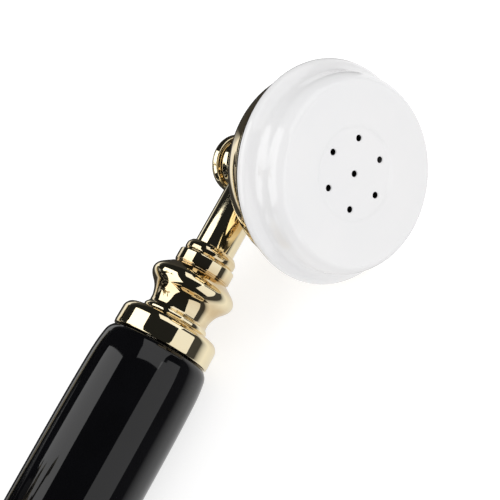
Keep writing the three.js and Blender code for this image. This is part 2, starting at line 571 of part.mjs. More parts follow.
// A gear blank's outline: straight-sided teeth, one of them centred on the start angle.
function gearShape(teeth, start) {
  const pitch = gearModule * teeth / 2, tip = pitch + 0.7 * gearModule, root = pitch - gearModule;
  const step = 2 * Math.PI / teeth, tipHalf = 0.1 * step, rootHalf = 0.3 * step;
  const shape = new THREE.Shape();
  for (let i = 0; i < teeth; i++) {
    const a = start + i * step;
    const tooth = [[root, a - rootHalf], [tip, a - tipHalf], [tip, a + tipHalf], [root, a + rootHalf]];
    for (const [r, t] of tooth) {
      if (i === 0 && t === a - rootHalf) shape.moveTo(r * Math.cos(t), r * Math.sin(t));
      else shape.lineTo(r * Math.cos(t), r * Math.sin(t));
    }
  }
  shape.closePath();
  return shape;
}
const gearLow = backLow - 1.5 - gearThickness, gearSpan = gearModule * (wheelTeeth + pinionTeeth) / 2;
const shaftLow = -frameDepth - 1;
add('dial_shaft', rod(shaftRadius, shaftLow, wheelTop), steel, dial);
add('dial_gear', cut(slab(gearShape(wheelTeeth, 0), gearThickness, gearLow),
  rod(shaftRadius + GAP, gearLow - 1, gearLow + gearThickness + 1)), brass, dial);
// The governor's pinion meshes on +X, its flyweight sits lower on the same spindle.
add('governor', join(
  slab(gearShape(pinionTeeth, Math.PI + Math.PI / pinionTeeth), gearThickness, gearLow),
  rod(spindleRadius, shaftLow, backLow - GAP, 10),
  rod(2 * spindleRadius, -14, gearLow, 10),
  block(9, 3, 3, 0, 0, -13.5),
).translate(gearSpan, 0, 0), steel, dial);

// The frame is a front plate that closes the drum, a small rear plate and three posts between them.
function dialFrame() {
  const low = -frameDepth - 1.6, high = -frameDepth;
  const post = (d) => atAngle(rod(2, low, backLow + 1, 10), framePostCircle, d * Math.PI / 180);
  const front = rod(drumRadius - casingWall - GAP, backLow, 0, FINE);
  const plates = join(front, rod(framePlateRadius, low, high), post(60), post(180), post(300));
  return cut(plates, rod(shaftRadius + GAP, low - 1, 1),
    rod(spindleRadius + GAP, low - 1, high + 1, 10).translate(gearSpan, 0, 0));
}
add('dial_frame', dialFrame(), steel, dial);

// A flat spiral spring turns the dial back. Its inner end is at the shaft and its outer end at a frame post.
function spiral() {
  const turns = 3.5, half = 0.25, inner = shaftRadius + GAP + half, outer = gearSpan - 3.6, steps = 42;
  const side = (offset) => Array.from({ length: steps + 1 }, (_, i) => {
    const t = i / steps, a = 2 * Math.PI * turns * t, r = inner + (outer - inner) * t ** 1.4 + offset;
    return new THREE.Vector2(r * Math.cos(a), r * Math.sin(a));
  });
  const tail = 2.4 - framePostCircle;
  return slab(new THREE.Shape([
    ...side(-half), new THREE.Vector2(half - outer, -half), new THREE.Vector2(tail, -half),
    new THREE.Vector2(tail, half), ...side(half).reverse(),
  ]), 2.4, -10.5);
}
add('dial_spring', spiral(), steel, dial);

// ---------------------------------------------------------------- ringer
function gong() {
  const rise = gongHeight - gongWall;
  const outer = arc(6, gongRim, gongRadius - 6, gongHeight, 0, 90, 4);
  const inner = arc(6, gongRim, gongRadius - gongWall - 6, rise, 90, 0, 4);
  return turned([...outer, [2.3, gongRim + gongHeight], [2.3, gongRim + rise], ...inner]);
}
const gongSeat = gongRim + gongHeight - gongWall - GAP;
const gongPost = (s) => turned([
  [0, standLow], [6, standLow], [6, standLow + 1.6], [3.6, standLow + 3], [3.6, gongSeat], [2, gongSeat],
  [2, gongRim + gongHeight + 1.5], [0, gongRim + gongHeight + 1.5],
], COARSE).translate(s * gongX, gongY, 0);
for (const [name, s] of [['left', -1], ['right', 1]]) {
  add('gong_' + name, gong().translate(s * gongX, gongY, 0), brass);
}

// The ringer's coils lie along Y. The clapper's armature swings on a pin at their front ends.
const clapperY = 7, coilFront = clapperY - 3.5, coilBack = coilFront - coilLength, yoke = 3;
const armatureHalf = 2.4;
const yokeTop = coilZ + 5, railFront = clapperY + 4, railBack = coilBack - yoke;
const yokeY = railBack - GAP + yoke / 2;
add('ringer_frame', join(
  block(2 * (coilSpread + coilRadius), yoke, yokeTop - standLow, 0, yokeY, (yokeTop + standLow) / 2),
  block(2 * coilSpread, railFront - railBack, 1.6, 0, (railFront + railBack) / 2, standLow + 0.8),
  rod(3, standLow, coilZ - armatureHalf - GAP).translate(0, clapperY, 0),
  rod(1.2, standLow, coilZ + armatureHalf + 1.5, 10).translate(0, clapperY, 0),
  block(12, gongY - clapperY + 6, 1.6, 0, (gongY + clapperY) / 2, standLow + 0.8),
  block(2 * gongX, 10, 1.6, 0, gongY, standLow + 0.8),
  gongPost(-1),
  gongPost(1),
), steel);
for (const [name, s] of [['left', -1], ['right', 1]]) {
  add('ringer_coil_' + name, turned([
    [0, 0], [coilRadius, 0], [coilRadius, 1.5], [coilRadius - 1, 1.5], [coilRadius - 1, coilLength - 1.5],
    [coilRadius, coilLength - 1.5], [coilRadius, coilLength], [0, coilLength],
  ], COARSE).rotateX(-Math.PI / 2).translate(s * coilSpread, coilBack, coilZ), copper);
}
add('clapper', cut(join(
  block(2 * coilSpread + 6, 3, 2 * armatureHalf, 0, clapperY, coilZ),
  rod(2.8, coilZ - armatureHalf, coilZ + armatureHalf).translate(0, clapperY, 0),
  rod(1, 0, clapperLength, 8).rotateX(-Math.PI / 2).translate(0, clapperY, coilZ),
  closed(new THREE.SphereGeometry(clapperBall, 12, 8)).translate(0, clapperY + clapperLength, coilZ),
), rod(1.2 + GAP, coilZ - 5, coilZ + 5, 10).translate(0, clapperY, 0)), brass);

add('condenser', block(15, 24, 13, sideX, sideY, standLow + 6.5), steel);
add('terminal_block', join(
  block(12, 24, 6, -sideX, sideY, standLow + 3),
  ...[-8, 0, 8].map((y) => rod(2.6, standLow + 5, standLow + 7.4).translate(-sideX, sideY + y, 0)),
), phenolic);

export default phone;
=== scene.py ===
from math import asin, atan2, cos, degrees, hypot, pi, radians, sin, sqrt

import bmesh
import bpy
from mathutils import Matrix, Vector


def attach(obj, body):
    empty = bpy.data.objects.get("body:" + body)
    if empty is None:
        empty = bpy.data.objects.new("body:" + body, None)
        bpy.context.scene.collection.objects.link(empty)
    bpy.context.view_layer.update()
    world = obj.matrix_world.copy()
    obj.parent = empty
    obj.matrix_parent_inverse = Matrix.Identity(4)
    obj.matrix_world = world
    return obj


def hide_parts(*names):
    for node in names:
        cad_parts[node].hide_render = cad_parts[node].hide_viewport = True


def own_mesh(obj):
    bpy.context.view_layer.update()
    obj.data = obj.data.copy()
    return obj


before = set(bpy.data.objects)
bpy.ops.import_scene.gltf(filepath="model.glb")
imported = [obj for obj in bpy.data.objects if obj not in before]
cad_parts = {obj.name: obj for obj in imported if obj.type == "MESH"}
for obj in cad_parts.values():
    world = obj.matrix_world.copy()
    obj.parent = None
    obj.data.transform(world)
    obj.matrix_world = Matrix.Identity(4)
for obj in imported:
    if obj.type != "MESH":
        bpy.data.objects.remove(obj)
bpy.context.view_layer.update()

MM = 0.001

# ---- The handset's place ---------------------------------------------------------------------------------
# The handset lies on its side beside the base, carried by the grip's belly and by the flanges of both caps.
# Its own frame has X along the grip and Z the way the heads face. Each head leans a little outwards.
grip_radius, flange_radius, flange_height = 14.3, 26.5, 24.4
head_lean, head_reach, handset_x = radians(6), 98.5, 138.0
reach = flange_height ** 2 + flange_radius ** 2
lift = grip_radius * flange_height
tilt_sine = (sqrt(lift ** 2 - reach * (grip_radius ** 2 - flange_radius ** 2)) - lift) / reach / cos(head_lean)
roll = asin(tilt_sine)
handset_place = Matrix((
    (0, -sin(roll), cos(roll), handset_x * MM),
    (1, 0, 0, 0),
    (0, cos(roll), sin(roll), grip_radius * MM),
    (0, 0, 0, 1),
))
along_grip = Matrix.Rotation(pi / 2, 4, "Y")
ends = {"ear": Matrix.Rotation(0, 4, "Z"), "mouth": Matrix.Rotation(pi, 4, "Z")}
end_place = {end: handset_place @ turn @ along_grip for end, turn in ends.items()}
head_place = {
    end: handset_place @ turn @ Matrix.Translation((head_reach * MM, 0, 0)) @ Matrix.Rotation(head_lean, 4, "Y")
    for end, turn in ends.items()
}

# ---- Camera ----------------------------------------------------------------------------------------------
# A long lens close to the receiver end, looking down on it so that the cap's face turns to the right. Its
# own axes are given against the handset: along the grip, across it, and out of the heads.
grip_seen, heads_seen = Vector((0.4813, 0.8613, -0.165)).normalized(), Vector((0.5748, -0.1674, 0.8009))
heads_seen = (heads_seen - heads_seen.dot(grip_seen) * grip_seen).normalized()
across_seen = heads_seen.cross(grip_seen)
seen = Matrix((grip_seen, across_seen, heads_seen))
camera_turn = handset_place.to_3x3() @ seen
camera_distance, aim_right, aim_up = 0.62, -0.00267, -0.0202
camera_data = bpy.data.cameras.new("camera")
camera_data.lens, camera_data.sensor_width = 185.4, 36
camera_data.clip_start, camera_data.clip_end = 0.01, 50
camera = bpy.data.objects.new("camera", camera_data)
bpy.context.collection.objects.link(camera)
stem_crossing = handset_place @ Vector((head_reach * MM, 0, 0))
camera.matrix_world = Matrix.Translation(
    stem_crossing + camera_turn @ Vector((aim_right, aim_up, camera_distance))) @ camera_turn.to_4x4()
bpy.context.scene.camera = camera

# ---- Studio ----------------------------------------------------------------------------------------------
# A white table under softboxes in an otherwise dark room: the boxes show as crisp patches in the brass and
# as broad grey bands along the black grip. The room is white to the eye and to matt surfaces, and dark in
# reflections.
def feed(tree, socket, value):
    """Give an input what it reads: an output is linked to it, and anything else becomes its fixed value."""
    if isinstance(value, bpy.types.NodeSocket):
        tree.links.new(value, socket)
    else:
        socket.default_value = value


def node(tree, kind, **inputs):
    """A node of one kind, with its inputs fed by name."""
    made = tree.nodes.new(kind)
    for name, value in inputs.items():
        feed(tree, made.inputs[name.replace("_", " ")], value)
    return made


def maths(tree, operation, *terms):
    """What one operation makes of its terms."""
    made = tree.nodes.new("ShaderNodeMath")
    made.operation = operation
    for socket, term in zip(made.inputs, terms):
        feed(tree, socket, term)
    return made.outputs[0]


def ramp(tree, value, start, stop, low=0.0, high=1.0):
    """A value carried over from one range to another, and held at its ends."""
    return node(tree, "ShaderNodeMapRange", Value=value, From_Min=start, From_Max=stop, To_Min=low,
                To_Max=high).outputs[0]


scene = bpy.context.scene
scene.view_settings.view_transform = "Standard"
world = bpy.data.worlds.new("studio")
scene.world = world
world.use_nodes = True
sky = world.node_tree
sky.nodes.clear()
rays = sky.nodes.new("ShaderNodeLightPath")
ROOM_LIGHT = {"white": ((1, 1, 1, 1), 1.02), "soft": ((1, 1, 1, 1), 0.66), "dark": ((0.9, 0.95, 1, 1), 0.015)}
room = {
    name: node(sky, "ShaderNodeBackground", Color=colour, Strength=strength).outputs[0]
    for name, (colour, strength) in ROOM_LIGHT.items()
}
seen_room = room["soft"]
for kind, name in (("Is Camera Ray", "white"), ("Is Glossy Ray", "dark")):
    choice = node(sky, "ShaderNodeMixShader", Fac=rays.outputs[kind])
    sky.links.new(seen_room, choice.inputs[1])
    sky.links.new(room[name], choice.inputs[2])
    seen_room = choice.outputs[0]
node(sky, "ShaderNodeOutputWorld", Surface=seen_room)

grip_line = Vector((0, 1, 0))
to_camera = camera_turn @ Vector((0, 0, 1))
facing = (to_camera - to_camera.dot(grip_line) * grip_line).normalized()
rightward = camera_turn @ Vector((1, 0, 0))
rightward -= rightward.dot(grip_line) * grip_line
rightward = (rightward - rightward.dot(facing) * facing).normalized()
lit_point = Vector((handset_x * MM, 0.075, 0.02))
SOFTBOX_DISTANCE = 0.9


def softbox(name, round_grip, along, width, length, radiance):
    """A lit rectangle, placed by its angle round the grip from the camera and its tilt towards the receiver."""
    turn, tilt = radians(round_grip), radians(along)
    way = cos(tilt) * (cos(turn) * facing + sin(turn) * rightward) + sin(tilt) * grip_line
    data = bpy.data.lights.new(name, "AREA")
    data.shape = "RECTANGLE"
    data.size, data.size_y = width, length
    data.energy = radiance * pi * width * length
    light = bpy.data.objects.new(name, data)
    side = grip_line.cross(way).normalized()
    light.matrix_world = Matrix.Translation(lit_point + way * SOFTBOX_DISTANCE) @ Matrix(
        (side, way.cross(side), way)).transposed().to_4x4()
    light.visible_camera = False
    bpy.context.collection.objects.link(light)


softbox("softbox_left", -76, -24.3, 0.86, 1.25, 1.6)
softbox("softbox_right", 45, -14.7, 1.0, 1.3, 0.85)
softbox("softbox_edge", 105, 0, 0.54, 0.9, 0.5)
softbox("softbox_ear", -4, 42, 0.9, 0.95, 1.0)


def table_material():
    """Matt white that glows a little, so that shadows stay pale. Reflections show it dark but for a patch."""
    made = bpy.data.materials.new("table_white")
    made.use_nodes = True
    tree = made.node_tree
    shader = tree.nodes["Principled BSDF"]
    shader.inputs["Base Color"].default_value = (0.5, 0.5, 0.5, 1)
    shader.inputs["Roughness"].default_value = 0.9
    shader.inputs["Specular IOR Level"].default_value = 0
    shader.inputs["Emission Color"].default_value = (1, 1, 1, 1)
    shader.inputs["Emission Strength"].default_value = 0.67
    place = tree.nodes.new("ShaderNodeTexCoord").outputs["Object"]
    away = node(tree, "ShaderNodeVectorMath", Vector=place)
    away.operation = "LENGTH"
    spot = node(tree, "ShaderNodeSeparateXYZ", Vector=place)
    # Dark in reflections: far off, between base and handset, past the receiver, and beside the handset.
    darkest, strip_start, strip_end = 0.97, (0.07, 0.09), (0.134, 0.14)
    far = ramp(tree, away.outputs["Value"], 0.2, 0.42, 0.2, darkest)
    between = maths(tree, "MULTIPLY", ramp(tree, spot.outputs["X"], *strip_start, 0, darkest),
                    ramp(tree, spot.outputs["X"], *strip_end, 1, 0))
    behind = maths(tree, "MULTIPLY", ramp(tree, spot.outputs["X"], *strip_end, darkest, 0),
                   ramp(tree, spot.outputs["Y"], 0.09, 0.11, 0, 1))
    beside = ramp(tree, spot.outputs["X"], 0.155, 0.19, 0, darkest)
    dark_part = far
    for other in (between, behind, beside):
        dark_part = maths(tree, "MAXIMUM", dark_part, other)
    glossy_ray = tree.nodes.new("ShaderNodeLightPath").outputs["Is Glossy Ray"]
    dark = node(tree, "ShaderNodeBsdfDiffuse", Color=(0.01, 0.01, 0.01, 1))
    mix = node(tree, "ShaderNodeMixShader", Fac=maths(tree, "MULTIPLY", dark_part, glossy_ray))
    tree.links.new(shader.outputs[0], mix.inputs[1])
    tree.links.new(dark.outputs[0], mix.inputs[2])
    tree.links.new(mix.outputs[0], tree.nodes["Material Output"].inputs["Surface"])
    return made


TABLE_HALF = 9
table_mesh = bpy.data.meshes.new("table_top")
table_corners = [(x * TABLE_HALF, y * TABLE_HALF, 0) for x, y in ((-1, -1), (1, -1), (1, 1), (-1, 1))]
table_mesh.from_pydata(table_corners, [], [(0, 1, 2, 3)])
table_mesh.materials.append(table_material())
table_top = bpy.data.objects.new("table_top", table_mesh)
bpy.context.collection.objects.link(table_top)

# ---- Grip ------------------------------------------------------------------------------------------------
# A slim barrel turned from hardwood, lacquered black and polished, with rounded shoulders and a bore for
# the tube. Every turned piece is made here: a profile of (radius, height, rounding) in millimetres, swept
# about its axis.
ROUND_STEPS, MOST_CUT = 6, 0.48
HELD, MOST_HELD = 1.12, 0.49   # a point just past each end of a rounding keeps the surface beyond it straight


def softened(profile):
    """The profile with each corner cut to a small curve of the rounding given for it."""
    points = []
    count = len(profile)
    for i, (r, z, rounding) in enumerate(profile):
        here = Vector((r, z))
        before, after = Vector(profile[i - 1][:2]), Vector(profile[(i + 1) % count][:2])
        back, on = before - here, after - here
        if rounding <= 0 or back.length < 1e-6 or on.length < 1e-6:
            points.append(here)
            continue
        cut_back, cut_on = (min(rounding, MOST_CUT * side.length) for side in (back, on))
        start, stop = here + back.normalized() * cut_back, here + on.normalized() * cut_on
        points.append(here + back.normalized() * min(HELD * cut_back, MOST_HELD * back.length))
        for step in range(ROUND_STEPS + 1):
            t = step / ROUND_STEPS
            points.append((1 - t) ** 2 * start + 2 * t * (1 - t) * here + t ** 2 * stop)
        points.append(here + on.normalized() * min(HELD * cut_on, MOST_HELD * on.length))
    kept = [points[0]]
    for p in points[1:]:
        if (p - kept[-1]).length > 1e-4:
            kept.append(p)
    return kept


def recess(points, span=2.2):
    """How far each point of a profile lies below the highest one near it, from 0 to 1: how much painted shade
    it gets in its recess.
    """
    painted_shade = []
    for p in points:
        near = [q.x for q in points if (q - p).length < span]
        painted_shade.append(min(1.0, (max(near) - p.x) / (0.7 * span)))
    return painted_shade


def swept(profile, place, sides=128):
    """The mesh of a turned piece, closed round its axis and put in its place."""
    points = softened(profile)
    if (points[0] - points[-1]).length < 1e-4:
        points.pop()
    verts, loops, painted_shade_mask = [], [], []
    for p, painted_shade in zip(points, recess(points)):
        if p.x < 1e-6:
            loops.append([len(verts)])
            verts.append((0, 0, p.y))
            painted_shade_mask.append(painted_shade)
            continue
        loops.append(list(range(len(verts), len(verts) + sides)))
        for k in range(sides):
            t = 2 * pi * k / sides
            verts.append((p.x * cos(t), p.x * sin(t), p.y))
            painted_shade_mask.append(painted_shade)
    faces = []
    for low, high in zip(loops, loops[1:] + loops[:1]):
        if len(low) == 1 and len(high) == 1:
            continue
        for k in range(sides):
            a, b = low[k % len(low)], low[(k + 1) % len(low)]
            c, d = high[(k + 1) % len(high)], high[k % len(high)]
            faces.append([v for i, v in enumerate((a, b, c, d)) if v not in (a, b, c, d)[:i]])
    mesh = meshed(verts, faces, place)
    # Each point keeps its painted shade amount, so that a finish can darken recesses as shade.
    mesh.attributes.new("painted_shade_mask", "FLOAT", "POINT").data.foreach_set("value", painted_shade_mask)
    return mesh


def meshed(verts, faces, place):
    """A mesh from points in millimetres, put in its place with its faces pointing out."""
    mesh = bpy.data.meshes.new("shape")
    mesh.from_pydata([place @ (Vector(v) * MM) for v in verts], [], faces)
    made = bmesh.new()
    made.from_mesh(mesh)
    bmesh.ops.recalc_face_normals(made, faces=made.faces)
    made.to_mesh(mesh)
    made.free()
    return mesh


def finished(name, mesh, body, nodes, finish, smooth=40):
    """A mesh made into a piece: its edges smoothed, its finish, its body and the CAD nodes it stands for."""
    slot, material = finish
    made = bmesh.new()
    made.from_mesh(mesh)
    for edge in made.edges:
        edge.smooth = len(edge.link_faces) == 2 and edge.calc_face_angle(0) < radians(smooth)
    for face in made.faces:
        face.smooth = True
        face.material_index = 0
    made.to_mesh(mesh)
    made.free()
    mesh.materials.clear()
    mesh.materials.append(material)
    mesh.name = name
    piece = bpy.data.objects.new(name, mesh)
    bpy.context.collection.objects.link(piece)
    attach(piece, body)
    if nodes:
        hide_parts(*nodes)
    return piece


def turned(name, profile, place, body, nodes, finish, sides=128):
    """One turned piece, riding on a body in place of CAD nodes."""
    return finished(name, swept(profile, place, sides), body, nodes, finish)


def blend(tree, factor, first, second):
    """A colour between two others."""
    made = node(tree, "ShaderNodeMix")
    made.data_type = "RGBA"
    for number, value in ((0, factor), (6, first), (7, second)):
        feed(tree, made.inputs[number], value)
    return made.outputs[2]


def wear_group():
    """Cloudy variation, fine dust specks and a faint ripple, for any finish."""
    group = bpy.data.node_groups.new("hand_finish", "ShaderNodeTree")
    for label in ("Cloud Size", "Speck Size"):
        group.interface.new_socket(label, in_out="INPUT", socket_type="NodeSocketFloat")
    for label in ("Clouds", "Specks", "Ripple"):
        group.interface.new_socket(label, in_out="OUTPUT", socket_type="NodeSocketFloat")
    inside, outside = group.nodes.new("NodeGroupInput"), group.nodes.new("NodeGroupOutput")
    where = group.nodes.new("ShaderNodeTexCoord").outputs["Object"]
    clouds = node(group, "ShaderNodeTexNoise", Vector=where, Scale=inside.outputs["Cloud Size"], Detail=4.0,
                  Roughness=0.6)
    specks = node(group, "ShaderNodeTexVoronoi", Vector=where, Scale=inside.outputs["Speck Size"])
    dots = ramp(group, specks.outputs["Distance"], 0.05, 0.16, 1.0, 0.0)
    ripple = node(group, "ShaderNodeTexNoise", Vector=where, Scale=220.0, Detail=2.0)
    group.links.new(clouds.outputs["Fac"], outside.inputs["Clouds"])
    group.links.new(dots, outside.inputs["Specks"])
    group.links.new(ripple.outputs["Fac"], outside.inputs["Ripple"])
    return group


hand_finish = wear_group()


def gloss(name, base, worn, roughness, metallic=0.0, coat=0.0, ripple=0.02, cloud=40.0, speck=900.0,
          painted_shade=None):
    """A hard finish. It drifts between two tones, dulls in clouds and specks, and takes a painted shade colour,
    patchy in clouds, where the mesh's painted-shade mask marks recesses.
    """
    made = bpy.data.materials.new(name)
    made.use_nodes = True
    tree = made.node_tree
    shader = tree.nodes["Principled BSDF"]
    wear = node(tree, "ShaderNodeGroup")
    wear.node_tree = hand_finish
    wear.inputs["Cloud Size"].default_value = cloud
    wear.inputs["Speck Size"].default_value = speck
    colour = blend(tree, ramp(tree, wear.outputs["Clouds"], 0.35, 0.7), (*base, 1), (*worn, 1))
    # Painted shade: where the mask marks a recess, the colour is pulled towards the shade colour, in cloudy
    # patches.
    if painted_shade:
        painted_shade_mask = tree.nodes.new("ShaderNodeAttribute")
        painted_shade_mask.attribute_name = "painted_shade_mask"
        patchy_painted_shade = maths(tree, "MULTIPLY", painted_shade_mask.outputs["Fac"], wear.outputs["Clouds"])
        colour = blend(tree, patchy_painted_shade, colour, (*painted_shade, 1))
    tree.links.new(colour, shader.inputs["Base Color"])
    dull = maths(tree, "MAXIMUM", wear.outputs["Clouds"], wear.outputs["Specks"])
    tree.links.new(ramp(tree, dull, 0.3, 1.0, *roughness), shader.inputs["Roughness"])
    bump = node(tree, "ShaderNodeBump", Height=wear.outputs["Ripple"], Strength=ripple, Distance=0.0004)
    tree.links.new(bump.outputs[0], shader.inputs["Normal"])
    shader.inputs["Metallic"].default_value = metallic
    shader.inputs["Coat Weight"].default_value = coat
    shader.inputs["Coat Roughness"].default_value = 0.03
    return made


black_lacquer = ("black_gloss", gloss(
    "black_lacquer", (0.002, 0.002, 0.0024), (0.0032, 0.0032, 0.004), (0.03, 0.07), ripple=0.01))
turned("grip", [
    (5.3, -48, 0.3), (12.1, -48, 0.4), (13.3, -46.6, 1.4), (13.95, -42, 3.5), (14.25, -30, 10),
    (14.3, -12, 12), (14.3, 12, 12), (14.25, 30, 10), (13.95, 42, 3.5), (13.3, 46.6, 1.4), (12.1, 48, 0.4),
    (5.3, 48, 0.3),
], handset_place @ along_grip, "handset", ["handset_grip"], black_lacquer)

# ---- Brass fittings --------------------------------------------------------------------------------------
# At each end of the grip: a plain collar, a turned baluster and a straight stem, all polished brass under
# lacquer. They thread on the tie tube that runs through the grip, and the collar clamps the grip's end.
# Polished brass, with a painted amber shade in its recesses, patchy in clouds.
polished_brass = ("brass", gloss(
    "polished_brass", (1.0, 0.89, 0.63), (0.98, 0.85, 0.56), (0.03, 0.07), metallic=1.0, ripple=0.012,
    cloud=60.0, painted_shade=(0.5, 0.27, 0.07)))
for end, place in end_place.items():
    turned(end + "_collar_polished", [
        (5.3, 48.3, 0.1), (12.4, 48.3, 0.35), (12.5, 49.2, 0.3), (12.4, 53.4, 0.6), (11.4, 54.8, 0.9),
        (5.3, 54.8, 0.1),
    ], place, "handset", [end + "_collar"], polished_brass)
    turned(end + "_baluster_polished", [
        (5.3, 55.1, 0.1), (8.2, 55.1, 0.5), (8.4, 56.2, 0.5), (7.6, 57, 0.4), (7.55, 58.6, 1.5),
        (8.4, 61.1, 1.6), (10.3, 63, 1.3), (10.85, 64.6, 1), (10.3, 66.1, 1.3), (7.6, 68, 1.2),
        (6.8, 68.5, 0.4), (7.2, 68.9, 0.25), (7.2, 71.8, 0.3), (6.1, 72.1, 0.15), (6.5, 72.6, 0.4),
        (6.5, 73.9, 0.5), (5.7, 74.9, 0.3), (5.3, 74.9, 0.1),
    ], place, "handset", [end + "_baluster"], polished_brass)
    turned(end + "_stem_polished", [
        (3.3, 63.4, 0.1), (5, 63.4, 0.1), (5, 94.6, 0.1), (3.3, 94.6, 0.1),
    ], place, "handset", [end + "_stem"], polished_brass)

# ---- Heads -----------------------------------------------------------------------------------------------
# Each head is a turned brass hub, a spun brass cup and a white moulded cap that screws into it. The
# receiver has a stepped knob behind its hub, and the transmitter a gland nut round a rubber cord bush.
for end, place in head_place.items():
    turned(end + "_hub_polished", [
        (2.6, -8.1, 0.1), (5.7, -8.1, 0.2), (5.7, -7.2, 0.2), (6.8, -6.6, 0.3), (6.6, -5.3, 0.4),
        (6.6, 6, 0.5), (7.4, 6.8, 0.4), (7.4, 7.6, 0.3), (4, 7.6, 0.1), (4, 11.8, 0.2), (2.6, 11.8, 0.1),
    ], place, "handset", [end + "_hub"], polished_brass)
    turned(end + "_cup_polished", [
        (4.3, 7.9, 0.2), (8, 7.9, 3.5), (14.5, 9.1, 3), (19.4, 12, 4), (22.3, 15.5, 3), (23.7, 18.9, 2),
        (24.1, 21.6, 0.5), (25.4, 22.3, 0.4), (25.4, 23.3, 0.3), (22.9, 23.3, 0.2), (22.7, 19.9, 2),
        (21.2, 16.1, 3), (18.5, 12.85, 4), (14, 10.25, 3), (8, 9.1, 3), (4.3, 9.1, 0.2),
    ], place, "handset", [end + "_cup"], polished_brass)
ear, mouth = head_place["ear"], head_place["mouth"]
turned("ear_knob_polished", [
    (0, -13.2, 0), (2.6, -13, 0.8), (3.4, -12.4, 0.3), (5.2, -12, 0.7), (5.7, -11, 0.4), (5.9, -10.6, 0.2),
    (6.9, -10.5, 0.4), (7.3, -9.6, 0.5), (6.9, -8.4, 0.3), (2.3, -8.4, 0.1), (2.3, -5.2, 0.1), (0, -5.2, 0),
], ear, "handset", ["ear_knob"], polished_brass)
turned("mouth_gland_nut_polished", [
    (3.4, -13.2, 0.2), (5.2, -13.2, 0.4), (6.1, -11, 0.3), (6.9, -10.6, 0.3), (7.3, -9.6, 0.5),
    (6.9, -8.4, 0.3), (3.4, -8.4, 0.1),
], mouth, "handset", ["mouth_gland_nut"], polished_brass)
black_rubber = ("rubber", gloss(
    "black_rubber", (0.02, 0.02, 0.02), (0.035, 0.034, 0.033), (0.5, 0.8), ripple=0.2))
turned("mouth_cord_bush_moulded", [
    (1.9, -14.4, 0.3), (3.1, -14.4, 0.4), (3.1, -8.4, 0.1), (1.9, -8.4, 0.1),
], mouth, "handset", ["mouth_cord_bush"], black_rubber)

# ---- Caps ------------------------------------------------------------------------------------------------
# The ear and mouth caps, moulded in white plastic with a flange, a drum and a dished face. Six sound holes
# are drilled in a ring round a seventh in the middle, and each is a little countersunk.
def shape_tree(name, made, *sizes):
    """A new tree of Geometry Nodes with its named inputs and output, the last input being the finish."""
    tree = bpy.data.node_groups.new(name, "GeometryNodeTree")
    tree.interface.new_socket(made, in_out="OUTPUT", socket_type="NodeSocketGeometry")
    for label, kind in (*sizes, ("Finish", "Material")):
        tree.interface.new_socket(label, in_out="INPUT", socket_type="NodeSocket" + kind)
    return tree, tree.nodes.new("NodeGroupInput").outputs


def closed_tree(tree, given, geometry):
    """The tree ended: what it made becomes real mesh with the finish on it."""
    real = node(tree, "GeometryNodeRealizeInstances", Geometry=geometry)
    dressed = node(tree, "GeometryNodeSetMaterial", Geometry=real.outputs[0], Material=given["Finish"])
    tree.links.new(dressed.outputs[0], tree.nodes.new("NodeGroupOutput").inputs[0])
    return tree


def ring_of_copies():
    """A node tree that sets copies of one shape round a circle, each turned to face its own way."""
    tree, given = shape_tree("ring_of_copies", "Ring", ("Copied Shape", "Object"), ("Copies", "Int"),
                             ("Circle", "Float"), ("First Angle", "Float"), ("Pitch", "Float"))
    number = tree.nodes.new("GeometryNodeInputIndex").outputs[0]
    angle = maths(tree, "ADD", maths(tree, "MULTIPLY", number, given["Pitch"]), given["First Angle"])
    spot = node(tree, "ShaderNodeCombineXYZ",
                X=maths(tree, "MULTIPLY", maths(tree, "COSINE", angle), given["Circle"]),
                Y=maths(tree, "MULTIPLY", maths(tree, "SINE", angle), given["Circle"]))
    turn = node(tree, "ShaderNodeCombineXYZ", Z=angle)
    points = node(tree, "GeometryNodePoints", Count=given["Copies"], Position=spot.outputs[0])
    shape = node(tree, "GeometryNodeObjectInfo", Object=given["Copied Shape"])
    copies = node(tree, "GeometryNodeInstanceOnPoints", Points=points.outputs[0],
                  Instance=shape.outputs["Geometry"], Rotation=turn.outputs[0])
    return closed_tree(tree, given, copies.outputs[0])


copies_round = ring_of_copies()


def evaluated(holder):
    """The plain mesh that an object's modifiers make, with the object itself thrown away."""
    bpy.context.view_layer.update()
    depsgraph = bpy.context.evaluated_depsgraph_get()
    mesh = bpy.data.meshes.new_from_object(holder.evaluated_get(depsgraph))
    holder.modifiers.clear()
    bpy.data.objects.remove(holder)
    return mesh


def held(mesh):
    """A working object that holds a mesh until it is used up."""
    holder = bpy.data.objects.new("working", mesh)
    bpy.context.collection.objects.link(holder)
    return holder


def grown(tree, finish, **sizes):
    """The plain mesh that a node tree makes, with its named inputs set."""
    holder = held(bpy.data.meshes.new("grown"))
    growth = holder.modifiers.new("growth", "NODES")
    growth.node_group = tree
    sockets = {item.name: item.identifier for item in tree.interface.items_tree if item.in_out == "INPUT"}
    for label, value in {**sizes, "Finish": finish[1]}.items():
        growth[sockets[label.replace("_", " ")]] = value
    return evaluated(holder)


def ringed(mesh, finish, place, **sizes):
    """Copies of a mesh round a circle, as one mesh put in its place."""
    copied = held(mesh)
    made = grown(copies_round, finish, Copied_Shape=copied, **sizes)
    bpy.data.objects.remove(copied)
    made.transform(place)
    return made


def carved(mesh, operation, *tools):
    """A mesh with others cut from it (DIFFERENCE), joined to it (UNION) or kept in common (INTERSECT)."""
    holder = held(mesh)
    held_tools = [held(tool) for tool in tools]
    for tool in held_tools:
        step = holder.modifiers.new("carve", "BOOLEAN")
        step.operation, step.object, step.solver = operation, tool, "EXACT"
    made = evaluated(holder)
    for tool in held_tools:
        bpy.data.objects.remove(tool)
    return made
